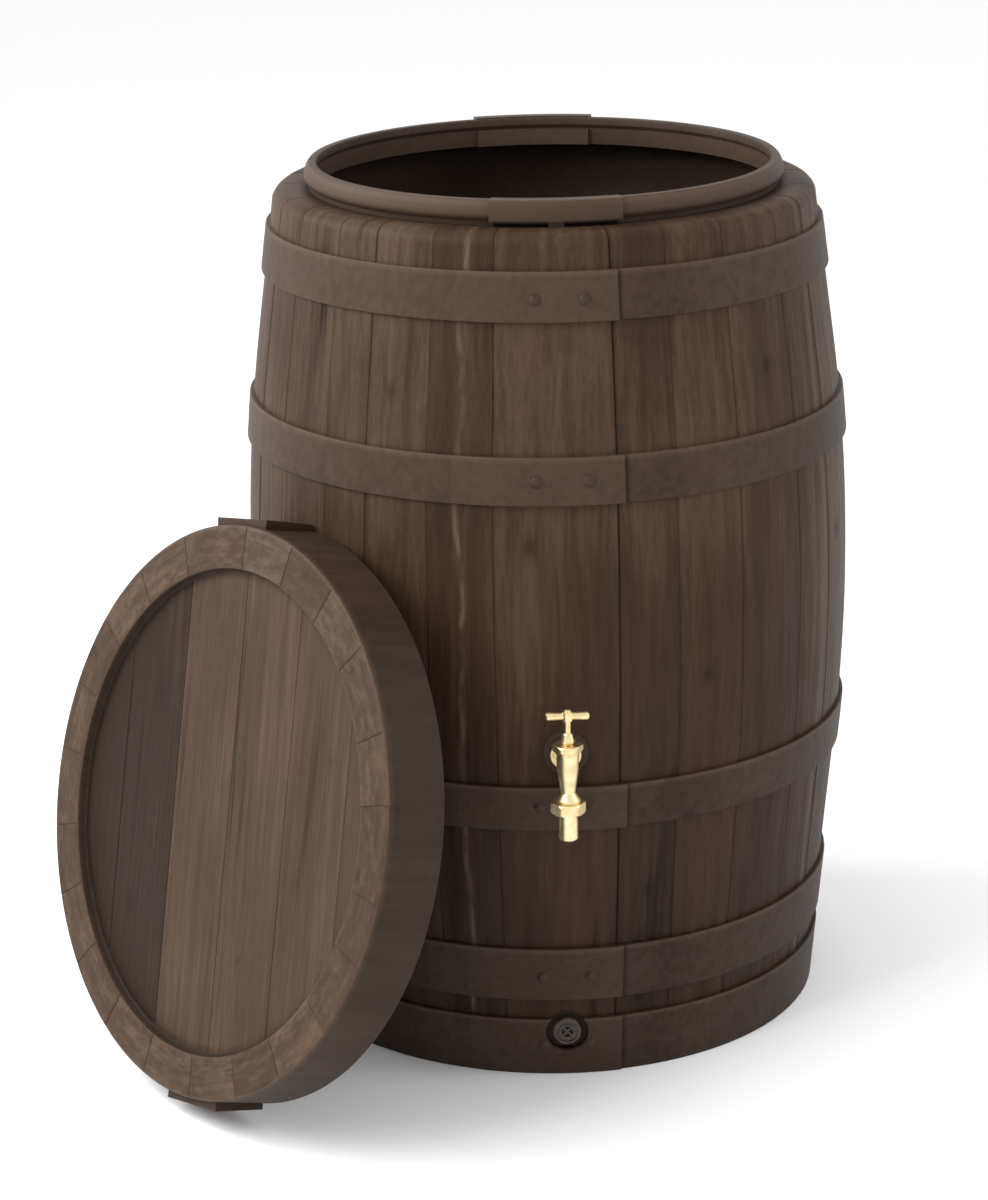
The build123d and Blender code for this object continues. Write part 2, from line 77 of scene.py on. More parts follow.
BOSS_R, BOSS_OUTER_Y, BOSS_INNER_Y, INLET_Z = 24.0, -335.0, -325.0, 385.0
DRAIN_Z, DRAIN_R, DRAIN_FLOOR_Y, DRAIN_BOSS_R, DRAIN_BOSS_Y = 52.0, 23.0, -299.0, 27.0, -285.0
SHANK_HOLE_R = 10.6
CUTTER_LENGTH = 40.0

# ---------------------------------------------------------------- lid dimensions
FACE_R, SKIRT_R, LID_DEPTH, LID_WALL, LID_ROUND = 304.5, 308.0, 69.0, 4.0, 4.0
PANEL_R, RECESS, LID_GROOVE = 257.5, 10.0, 1.2
PLANK_SEAMS = [-185, -84, 18, 118, 219]
RING_SEAMS = [4, 20, 36, 51, 69, 83, 102, 115, 131, 148, 163,
              179, 196, 213, 230, 246, 261, 278, 293, 309, 325, 342]
GRIP_HALF, GRIP_FLAT, GRIP_TOP = 45.0, 311.4, -8.0
RING_MIDDLE_R = 280.0
LEDGE = 8.5  # how far the rim reaches in under the planks
LID_AZIMUTH, LID_TILT, LID_TURN = 54.3, 15.8, 10.3
LID_STAND_AZIMUTH, LID_STAND_OFF = 50.5, 486.4


# ---------------------------------------------------------------- noise and mesh helpers
class Noise:
    """Smooth value noise from -1 to 1 on a table of nu by nv cells; both directions repeat."""

    def __init__(self, seed, nu, nv):
        self.table = np.random.default_rng(seed).random((nu, nv)) * 2 - 1

    def __call__(self, u, v):
        nu, nv = self.table.shape
        u, v = np.broadcast_arrays(np.asarray(u, float), np.asarray(v, float))
        iu, iv = np.floor(u).astype(int), np.floor(v).astype(int)
        fu, fv = u - iu, v - iv
        fu, fv = fu * fu * (3 - 2 * fu), fv * fv * (3 - 2 * fv)
        a, b = self.table[iu % nu, iv % nv], self.table[(iu + 1) % nu, iv % nv]
        c, d = self.table[iu % nu, (iv + 1) % nv], self.table[(iu + 1) % nu, (iv + 1) % nv]
        return (a * (1 - fu) + b * fu) * (1 - fv) + (c * (1 - fu) + d * fu) * fv


# The looks that each point carries: lighter or darker, with painted light and shade among them; redder;
# grain;
# dark seams, cracks and knots together with painted shade; hoop instead of wood; and pale, which is painted
# highlight on edges and the ridge and pale wear on the scratch.
CHANNELS = ("tone", "warm", "streak", "marks_and_shade", "hoop", "pale")
ALONG_GRAIN = 0.05  # the grain pattern is stretched this much along the wood


def finish_mesh(name, points, faces, channels, grain, smooth_angle=32.0):
    """Mesh object from points in millimetres, faces, and per-point looks."""
    points = np.asarray(points, float)
    tri = []
    for f in faces:
        if len(f):
            f = np.asarray(f)
            tri.append(f[:, [0, 1, 2]])
            if f.shape[1] == 4:
                tri.append(f[:, [0, 2, 3]])
    t = np.concatenate(tri)
    volume = np.einsum("ij,ij->i", points[t[:, 0]], np.cross(points[t[:, 1]], points[t[:, 2]])).sum()
    lists = []
    for f in faces:
        if len(f):
            f = np.asarray(f)
            lists += (f[:, ::-1] if volume < 0 else f).tolist()
    mesh = bpy.data.meshes.new(name)
    mesh.from_pydata((points * MM).tolist(), [], lists)
    for key in CHANNELS:
        layer = mesh.attributes.new(key, "FLOAT", "POINT")
        values = np.broadcast_to(channels.get(key, 0.0), len(points))
        layer.data.foreach_set("value", values.astype(np.float32))
    layer = mesh.attributes.new("grain", "FLOAT_VECTOR", "POINT")
    layer.data.foreach_set("vector", (np.asarray(grain) * MM).astype(np.float32).ravel())
    mesh.polygons.foreach_set("use_smooth", [True] * len(mesh.polygons))
    mesh.set_sharp_from_angle(angle=radians(smooth_angle))
    mesh.update()
    piece = bpy.data.objects.new(name, mesh)
    bpy.context.scene.collection.objects.link(piece)
    return piece


def ring_faces(rows, cols, closed):
    """Quads of a grid whose columns run round; the rows close too where asked."""
    i = np.arange(rows if closed else rows - 1)[:, None]
    j = np.arange(cols)[None, :]
    down, over = (i + 1) % rows, (j + 1) % cols
    corners = np.broadcast_arrays(i * cols + j, i * cols + over, down * cols + over, down * cols + j)
    return np.stack(corners, -1).reshape(-1, 4)


def dense_columns(first, span, step, seams, offsets, doubles):
    """Column places: an even spacing, closer at seams, and two side by side at sharp steps."""
    plain = first + np.arange(0, span, step)
    near = [first + (s - first) % 360 if span == 360 else s for s in seams]
    keep = np.ones(len(plain), bool)
    extra = []
    for s in near:
        keep &= np.abs(plain - s) > max(offsets) * 1.6
        extra += [s] + [s + k * o for o in offsets for k in (-1, 1)]
    for s in doubles:
        s = first + (s - first) % 360 if span == 360 else s
        keep &= np.abs(plain - s) > 0.12
        extra += [s - 0.03, s + 0.03]
    return np.unique(np.round(np.concatenate([plain[keep], extra]), 4))


def lathe(name, profile, place, segments=64, tone=0.0, hoop=1.0):
    """Closed solid of revolution from (radius, height) points, placed by a matrix."""
    angle = np.radians(np.arange(segments) * 360.0 / segments)
    points = np.array([[(r * cos(a), r * sin(a), h) for a in angle] for r, h in profile]).reshape(-1, 3)
    points = points @ np.array(place.to_3x3()).T + np.array(place.translation)
    channels = {"tone": tone, "hoop": hoop}
    return finish_mesh(name, points, [ring_faces(len(profile), segments, True)], channels, points)


# ---------------------------------------------------------------- wood pattern
# Cells once round the barrel of each pattern: the larger the number, the finer it is.
GRAIN_CELLS, GRAIN_WIDE_CELLS, GRAIN_SLOW_CELLS = 520, 190, 60
BEND_CELLS, PATCH_CELLS, HAMMER_CELLS = 22, 26, 300
grain_fine = Noise(11, GRAIN_CELLS, 40)
grain_wide = Noise(12, GRAIN_WIDE_CELLS, 24)
grain_slow = Noise(13, GRAIN_SLOW_CELLS, 16)
grain_bend = Noise(14, BEND_CELLS, 20)
patch = Noise(15, PATCH_CELLS, 24)
hammer = Noise(16, HAMMER_CELLS, 200)
ridge_path = Noise(17, 4, 64)

# The first staves' tones are set from the photograph, and the rest are drawn.
STAVE_TONE = [-0.35, 0.12, -0.28, -0.05, -0.18, 0.10, 0.30, -0.05]
STAVE_WARM = [0.0, 0.55, -0.5, 0.25, -0.2, 0.1, -0.2, 0.3]
rng = np.random.default_rng(5)
while len(STAVE_TONE) < len(STAVE_EDGES):
    STAVE_TONE.append(float(rng.uniform(-0.35, 0.3)))
    STAVE_WARM.append(float(rng.uniform(-0.6, 0.6)))
STAVE_TONE[-3:] = 0.16, -0.16, 0.02  # the three staves left of the front, also set from the photograph
STAVE_SINK = [float(rng.uniform(0.0, 0.7)) for _ in STAVE_EDGES]
# (angle, level, size) of each knot
KNOTS = [(-6, 610, 9), (27, 455, 7), (44, 770, 8), (-33, 760, 8), (16, 215, 7),
         (68, 560, 9), (-55, 500, 8), (100, 640, 9), (146, 380, 8), (176, 720, 9),
         (205, 520, 8), (247, 300, 9), (275, 780, 8), (130, 800, 8)]
FALL_LEVEL, FALL_REACH, BASE_REACH = 420.0, 420.0, 480.0  # lighter above the first, darker below the last: painted light towards the top, painted shade towards the base
RIDGE_ANGLE, RIDGE_HALF = -18.6, 0.42  # the wavering ridge left of the tap, with a painted highlight along it
SCRATCH_ANGLE, SCRATCH_HALF = 61.0, 0.9
COLUMN_STEP, SEAM_COLUMNS = 0.44, (0.09, GROOVE_HALF, 0.34)


def stave_radius(z):
    """Outer radius of the staves at a level: an arc at the belly, straight above and below it."""
    lower_end = BELLY_Z - BELLY_ARC * sin(atan(LOWER_SLOPE))
    upper_end = BELLY_Z + BELLY_ARC * sin(atan(UPPER_SLOPE))
    level = min(max(z, lower_end), upper_end)
    on_arc = BELLY_R - BELLY_ARC + sqrt(BELLY_ARC ** 2 - (level - BELLY_Z) ** 2)
    if z < lower_end:
        return on_arc - LOWER_SLOPE * (lower_end - z)
    return on_arc - UPPER_SLOPE * max(0.0, z - upper_end)


# T holds the angle of every column of points; the names that end in _T hold one value per column.
T = dense_columns(FIRST_ANGLE, 360, COLUMN_STEP, STAVE_EDGES, SEAM_COLUMNS,
                  [LAP_START, LAP_END, -LUG_HALF, LUG_HALF, 180 - LUG_HALF, 180 + LUG_HALF,
                   -SLOT_HALF, SLOT_HALF, 180 - SLOT_HALF, 180 + SLOT_HALF, -HOOK_HALF, HOOK_HALF])
EDGES = np.sort([FIRST_ANGLE + (e - FIRST_ANGLE) % 360 for e in STAVE_EDGES])
ORDER = np.argsort([FIRST_ANGLE + (e - FIRST_ANGLE) % 360 for e in STAVE_EDGES])
STAVE = (np.searchsorted(EDGES, T, side="right") - 1) % len(EDGES)
TONE_T = np.array(STAVE_TONE)[ORDER][STAVE]
WARM_T = np.array(STAVE_WARM)[ORDER][STAVE]
SINK_T = np.array(STAVE_SINK)[ORDER][STAVE]
seam_gap = np.abs((T[:, None] - EDGES[None, :] + 180) % 360 - 180).min(1)
MAIN_SEAM = np.abs(T - MAIN_SEAM_ANGLE) < 3
GROOVE_SHAPE = np.clip(1 - seam_gap / GROOVE_HALF, 0, 1) ** 0.8
GROOVE_T = GROOVE_DEPTH * np.where(MAIN_SEAM, 0.8, 0.4) * GROOVE_SHAPE
SEAM_T = np.where(MAIN_SEAM, 0.7, 0.28) * np.exp(-(seam_gap / 0.32) ** 2)
from_front = np.abs((T + 180) % 360 - 180)
from_back = np.abs((T + 360) % 360 - 180)
IN_LUG = (from_front < LUG_HALF) | (from_back < LUG_HALF)
IN_SLOT = (from_front < SLOT_HALF) | (from_back < SLOT_HALF)
IN_HOOK = from_front < HOOK_HALF
IN_LAP = (T > LAP_START) & (T < LAP_END)
LAP_T = np.where(IN_LAP, LAP_SHIFT * np.cos(np.radians(T - LAP_SHIFT_ANGLE)), 0.0)


def wood(z):
    """Relief depth and looks of the staves at a level, for every column."""
    turn = (T - FIRST_ANGLE) / 360.0
    # the grain wavers, and goes round the knots
    bend = turn + 0.0022 * grain_bend(turn * BEND_CELLS, z / 120.0)
    for angle, level, size in KNOTS:
        away = (T - angle + 180) % 360 - 180
        across, along = away / (size * 0.16), (z - level) / (size * 4.0)
        bend = bend + 0.0016 * np.sign(away) * np.exp(-(across ** 2) * 0.35 - along ** 2)
    shift = STAVE * 0.173  # so that no stave carries on its neighbour's grain
    fine = grain_fine((bend + shift) * GRAIN_CELLS, z / 75.0 + STAVE * 3.7)
    wide = grain_wide((bend + shift) * GRAIN_WIDE_CELLS, z / 170.0 + STAVE * 1.3)
    slow = grain_slow((bend + shift) * GRAIN_SLOW_CELLS, z / 260.0 + STAVE * 2.1)
    streak = 0.36 * fine + 0.3 * wide + 0.28 * slow
    relief = 0.22 * (1 - fine) + 0.24 * (1 - wide) + 0.18 * (1 - slow) + SINK_T
    crack = np.clip((wide + slow) * -1.0 - 0.95, 0, 1) * np.clip(0.4 - fine, 0, 1)
    relief = relief + 1.1 * crack
    # looks: dark seams and cracks, each stave's own tone, and painted light towards the top with painted
    # shade towards the base
    marks_and_shade = np.clip(SEAM_T + 1.2 * crack, 0, 1)
    tone = 0.42 * TONE_T + 0.24 * patch(turn * PATCH_CELLS, z / 130.0)
    lighter, darker = np.clip((z - FALL_LEVEL) / FALL_REACH, 0, 1), np.clip(1 - z / BASE_REACH, 0, 1)
    tone = tone + 0.24 * lighter - 0.46 * darker
    # the raised ridge with a painted highlight along it and darker bands beside it, then the long pale
    # scratch
    pale = np.zeros_like(T)
    path = RIDGE_ANGLE + 0.9 * ridge_path(0.0, z / 70.0) + 0.35 * ridge_path(1.0, z / 21.0)
    ridge = np.exp(-((T - path) / RIDGE_HALF) ** 2) * (0.55 + 0.45 * ridge_path(2.0, z / 16.0))
    pale = pale + np.clip(ridge, 0, 1)
    relief = relief - 0.5 * np.clip(ridge, 0, 1)
    tone = tone - 0.5 * np.exp(-((T + 22.0) / 2.2) ** 2) - 0.25 * np.exp(-((T + 15.6) / 1.3) ** 2)
    scratch = SCRATCH_ANGLE + 0.6 * ridge_path(3.0, z / 120.0)
    pale = pale + 0.5 * np.exp(-((T - scratch) / SCRATCH_HALF) ** 2)
    for angle, level, size in KNOTS:
        away = (T - angle + 180) % 360 - 180
        across, along = away * 5.7 / size, (z - level) / (size * 1.5)
        ring = np.hypot(across, along)
        marks_and_shade = np.clip(marks_and_shade + 0.75 * np.exp(-(ring / 0.75) ** 2), 0, 1)
        relief = relief + 0.5 * np.exp(-(ring / 0.6) ** 2)
    looks = dict(tone=tone, warm=WARM_T, streak=streak, marks_and_shade=marks_and_shade, hoop=0.0 * T, pale=pale)
    return np.clip(relief, 0, 3), looks


class Rows:
    """Rows of points round the barrel's axis, with their looks."""

    def __init__(self):
        self.r, self.z, self.looks = [], [], []

    def add(self, r, z, looks):
        self.r.append(np.broadcast_to(r, T.shape).astype(float))
        self.z.append(np.broadcast_to(z, T.shape).astype(float))
        self.looks.append({k: np.broadcast_to(looks.get(k, 0.0), T.shape) for k in CHANNELS})

    def wood(self, z, side=1.0, up=0.0, r=None, level=None, fade=1.0):
        """A row on the staves, its relief sunk sideways and down by the given shares."""
        relief, looks = wood(z if level is None else level)
        depth = relief * fade + GROOVE_T
        self.add((stave_radius(z) if r is None else r) - depth * side, z - depth * up, looks)

    def hoop(self, z, proud, marks_and_shade=0.0, pale=0.0):
        """A row on a hoop: hammered on its face, and raised where its ends overlap."""
        along = (T - FIRST_ANGLE) / 360 * HAMMER_CELLS
        rough = 0.30 * (0.5 + 0.5 * hammer(along, z / 7.0)) if proud >= HOOP_PROUD else 0.0
        smooth = np.where(IN_LAP, 0.45, 1.0)
        # painted shadow just below the step where the lap ends
        step = np.exp(-((T - LAP_END - 0.35) / 0.5) ** 2) * (T > LAP_END)
        # painted light towards the top and painted shade towards the base
        fall = 0.17 * max(0.0, z - FALL_LEVEL) / FALL_REACH - 0.16 * max(0.0, 1 - z / BASE_REACH)
        # painted light on the raised lap and painted shade just past its end
        shade = np.where(IN_LAP, 0.10, -0.02 - 0.25 * np.exp(-((T - 19) / 6.0) ** 2))
        looks = dict(tone=fall + shade, streak=hammer(along, z / 7.0 + 9) * 0.3 * smooth,
                     hoop=1.0, marks_and_shade=np.clip(marks_and_shade + 0.8 * step, 0, 1), pale=pale)
        self.add(stave_radius(z) + proud + LAP_T - rough * smooth, z, looks)

    def hoop_band(self, band, rows):
        """Rows of a hoop at the given levels; its bottom and top edges are set back."""
        bottom, top = band
        if rows[0] == bottom:
            # painted shade along the bottom edge; the top edge below gets a painted highlight
            self.hoop(bottom, HOOP_PROUD - HOOP_EDGE, marks_and_shade=0.35)
        for z in rows[1:-1] if rows[0] == bottom else rows[:-1]:
            self.hoop(z, HOOP_PROUD, pale=0.35 if z > top - 3 else 0.0)
        if rows[-1] == top:
            self.hoop(top, HOOP_PROUD - HOOP_EDGE, pale=0.3)
        else:
            self.hoop(rows[-1], HOOP_PROUD)

    def plain(self, r, z, tone=0.0, marks_and_shade=0.0, pale=0.0):
        """A smooth row."""
        self.add(r, z, dict(tone=tone, hoop=1.0, marks_and_shade=marks_and_shade, pale=pale))

    def inner(self, z):
        """A row on the wall's inside, which follows each hoop outwards."""
        r = stave_radius(z) - WALL
        for bottom, top in HOOPS:
            low, high = max(bottom + CHANNEL_INSET, FLOOR_ROUND + WALL), top - CHANNEL_INSET
            inside = min((z - low) / CHANNEL_DEPTH, (high - z) / CHANNEL_DEPTH)
            r += CHANNEL_DEPTH * min(max(inside, 0.0), 1.0)
        # painted shade over the whole inside of the wall
        self.plain(r, z, tone=0.0, marks_and_shade=0.2)

    def piece(self, name, closed):
        """Mesh object of the rows: a closed ring, or a wall shut by a middle point at each end."""
        r, z = np.array(self.r), np.array(self.z)
        angle = np.radians(T)[None, :]
        points = np.stack([r * np.sin(angle), -r * np.cos(angle), z], -1).reshape(-1, 3)
        looks = {k: np.concatenate([row[k] for row in self.looks]) for k in CHANNELS}
        faces = [ring_faces(len(r), len(T), closed)]
        if not closed:
            first, last = len(points), len(points) + 1
            points = np.vstack([points, [(0, 0, z[0].mean()), (0, 0, z[-1].mean())]])
            looks = {k: np.concatenate([v, [v[0], v[-1]]]) for k, v in looks.items()}
            j = np.arange(len(T))
            over = (j + 1) % len(T)
            base = (len(r) - 1) * len(T)
            faces.append(np.stack([over, j, np.full_like(j, first)], -1))
            faces.append(np.stack([base + j, base + over, np.full_like(j, last)], -1))
        stave = np.tile(STAVE, len(r))
        stave = np.concatenate([stave, np.zeros(len(points) - len(stave))])
        grain = points * [1, 1, ALONG_GRAIN] + np.stack([stave * 37.0, 0 * stave, stave * 11.0], -1)
        return finish_mesh(name, points, faces, looks, grain)


def levels(start, stop, step):
    """Evenly spaced levels from start to stop, about step apart."""
    return list(np.linspace(start, stop, max(2, int(round((stop - start) / step)) + 1)))


def barrel_lower():
    """Wall from the floor to the third hoop, with the closed bottom."""
    rows = Rows()
    for r in (60, 150, 240, 290):
        rows.plain(r, 0.0, tone=-0.3)
    rows.hoop_band(HOOP_1, [0, 1.0] + levels(6, 62, 6.2) + [66.0, 67])
    for z in levels(HOOP_1[1], HOOP_2[0], 3.4):
        rows.wood(z)
    rows.hoop_band(HOOP_2, [91, 92.0] + levels(97, 147, 7) + [152.0, 153])
    for z in levels(HOOP_2[1], HOOP_3[0], 5.2):
        rows.wood(z)
    rows.hoop_band(HOOP_3, [296, 297.0, 303.0, LOWER_CUT])
    for z in np.linspace(LOWER_CUT, FLOOR_ROUND + WALL, 19):
        rows.inner(z)
    base = stave_radius(FLOOR_ROUND + WALL) - WALL
    for a in (30, 60, 90):
        angle = radians(a)
        rows.plain(base - FLOOR_ROUND * (1 - cos(angle)), WALL + FLOOR_ROUND * (1 - sin(angle)), tone=-0.2)
    for r in (200, 100):
        rows.plain(r, WALL, tone=-0.2)
    return rows.piece("barrel_lower_wall", False)


def barrel_middle():
    """Wall from the third hoop to the fourth."""
    rows = Rows()
    rows.hoop_band(HOOP_3, [LOWER_CUT] + levels(314, 340, 6.5) + [345.0, 346])
    for z in levels(HOOP_3[1], HOOP_4[0], 5.4):
        rows.wood(z)
    rows.hoop_band(HOOP_4, [654, 655.0, 659.5, UPPER_CUT])
    for z in np.linspace(UPPER_CUT, LOWER_CUT, 21):
        rows.inner(z)
    return rows.piece("barrel_middle_wall", True)


def barrel_upper():
    """Wall from the fourth hoop up, with the shoulder, the collar and its two lugs."""
    rows = Rows()
    rows.hoop_band(HOOP_4, [UPPER_CUT] + levels(670, 698, 7) + [703.0, 704])
    for z in levels(HOOP_4[1], HOOP_5[0], 5.8):
        rows.wood(z)
    rows.hoop_band(HOOP_5, [841, 842.0] + levels(848, 886, 6.4) + [891.0, 892])
    corner_z = SHOULDER_Z - SHOULDER_ROUND
    corner_r = stave_radius(corner_z)
    for z in levels(HOOP_5[1], corner_z, 4.4):
        rows.wood(z)
    for a in (15, 30, 45, 60, 75, 90):
        angle = radians(a)
        rows.wood(corner_z + SHOULDER_ROUND * sin(angle), side=cos(angle), up=sin(angle),
                  r=corner_r - SHOULDER_ROUND * (1 - cos(angle)), level=corner_z + a / 4, fade=1 - a / 110)
    # painted shadow on the shoulder under the lugs, and painted shade at the foot of the neck
    lug_shadow = np.where(IN_SLOT & ~IN_HOOK, 1.0, 0.0)
    rows.wood(SHOULDER_Z, side=0.0, up=1.0, r=NECK_R + 11, level=938, fade=0.2)
    rows.plain(NECK_R + 9, SHOULDER_Z - 0.3, tone=-0.1, marks_and_shade=lug_shadow)
    rows.plain(NECK_R + 2, SHOULDER_Z - 0.6, tone=-0.1, marks_and_shade=np.maximum(lug_shadow, 0.5))
    rows.plain(NECK_R, SHOULDER_Z - 0.8, marks_and_shade=0.8)
    # painted shade in the slot under each lug, the hook left lighter, and fainter painted shade round the
    # rest of the neck
    slot_r = np.where(IN_HOOK, NECK_R + 8.5, np.where(IN_SLOT, NECK_R - SLOT_DEPTH, NECK_R))
    deep = np.where(IN_SLOT & ~IN_HOOK, 1.0, 0.25)
    rows.plain(NECK_R, SHOULDER_Z + 0.02, marks_and_shade=deep)
    rows.plain(slot_r, SHOULDER_Z + 0.05, marks_and_shade=deep)
    rows.plain(slot_r, SLOT_TOP - 0.05, marks_and_shade=deep)
    rows.plain(np.where(IN_LUG, LUG_R, NECK_R), SLOT_TOP, marks_and_shade=deep)
    bead = [(NECK_R, BEAD_START), (259.4, 936.4), (261.3, 938.6), (BEAD_R, BEAD_Z), (261.7, 944.5),
            (260.6, 948.5), (259.2, 952), (NECK_R + 1, BEAD_END)]
    # painted shadow along the foot of the lugs' faces
    rows.plain(np.where(IN_LUG, LUG_R, NECK_R), BEAD_START - 0.05, marks_and_shade=deep)
    rows.plain(np.where(IN_LUG, LUG_R, NECK_R), np.where(IN_LUG, LUG_SHADE_TOP, BEAD_START - 0.03), marks_and_shade=deep)
    lug_start = LUG_SHADE_TOP + 0.5
    lug_rise = (LUG_TOP - 1.0 - lug_start) / (BEAD_END - BEAD_START)
    # painted light on the bead and the lugs, with painted highlights near their tops and on the rim
    for r, z in bead:
        lug_z = lug_start + (z - BEAD_START) * lug_rise
        rows.plain(np.where(IN_LUG, LUG_R, r), np.where(IN_LUG, lug_z, z),
                   tone=0.6, pale=0.2 if z > 950 else 0.0)
    rows.plain(np.where(IN_LUG, LUG_R - 1, NECK_R - 1), np.where(IN_LUG, LUG_TOP, RIM_Z), pale=0.35)
    rows.plain(NECK_INNER_R + 1.1, np.where(IN_LUG, LUG_TOP, RIM_Z), pale=0.2)
    rows.plain(NECK_INNER_R + 1.0, RIM_Z)
    rows.plain(RIM_INNER_R + 1, RIM_Z, pale=0.2)
    rows.plain(RIM_INNER_R, RIM_Z - 2)
    rows.plain(RIM_INNER_R, RIM_Z - 8, tone=0.1)
    rows.plain(NECK_INNER_R, RIM_Z - 12)
    rows.plain(NECK_INNER_R, RIM_Z - RIM_STEP)
    # painted light on the inside of the collar, strongest where the lugs' hollows stand inwards
    bulge = np.where(IN_LUG, NECK_INNER_R - SLOT_DEPTH, NECK_INNER_R)
    rows.plain(bulge, RIM_Z - RIM_STEP - 0.05, tone=np.where(IN_LUG, 0.6, 0.25))
    rows.plain(bulge, SHOULDER_Z - WALL + 0.05, tone=np.where(IN_LUG, 0.35, 0.0))
    # painted shadow in the band under the collar inside, where the wall widens
    rows.plain(NECK_INNER_R, SHOULDER_Z - WALL, marks_and_shade=1.0)
    bend = SHOULDER_ROUND - WALL
    inner_r = corner_r - WALL
    rows.plain(inner_r - bend, SHOULDER_Z - WALL, tone=-0.3, marks_and_shade=1.0)
    for a in (60, 30):
        angle = radians(a)
        rows.plain(inner_r - bend * (1 - cos(angle)), corner_z + bend * sin(angle), tone=-0.3, marks_and_shade=1.0)
    for z in np.linspace(corner_z, UPPER_CUT, 14):
        rows.inner(z)
    return rows.piece("barrel_upper_wall", True)


# ---------------------------------------------------------------- lid
def lid_frame():
    """Matrix from the lid's own frame to the row frame: its face ring at z = 0, its planks along Y."""
    def direction(angle):
        return Vector((sin(radians(angle)), -cos(radians(angle)), 0.0))
    tilt, turn = radians(LID_TILT), radians(LID_TURN)
    outward = direction(-LID_AZIMUTH)
    normal = outward * cos(tilt) + Vector((0, 0, sin(tilt)))
    right = Vector((0, 0, 1)).cross(outward)
    upward = normal.cross(right)
    x_dir = right * cos(turn) + upward * sin(turn)
    y_dir = normal.cross(x_dir)
    corner_r = hypot(GRIP_FLAT, GRIP_HALF)
    corner_turn = atan(GRIP_HALF / GRIP_FLAT) - turn
    drop = corner_r * cos(corner_turn) * cos(tilt) + LID_DEPTH * sin(tilt)
    middle = direction(-LID_STAND_AZIMUTH) * LID_STAND_OFF + Vector((0, 0, drop))
    m = Matrix((x_dir, y_dir, normal)).transposed().to_4x4()
    m.translation = middle
    return m


LID = lid_frame()


def to_row(points):
    """Points of the lid's own frame in the row frame."""
    return points @ np.array(LID.to_3x3()).T + np.array(LID.translation)


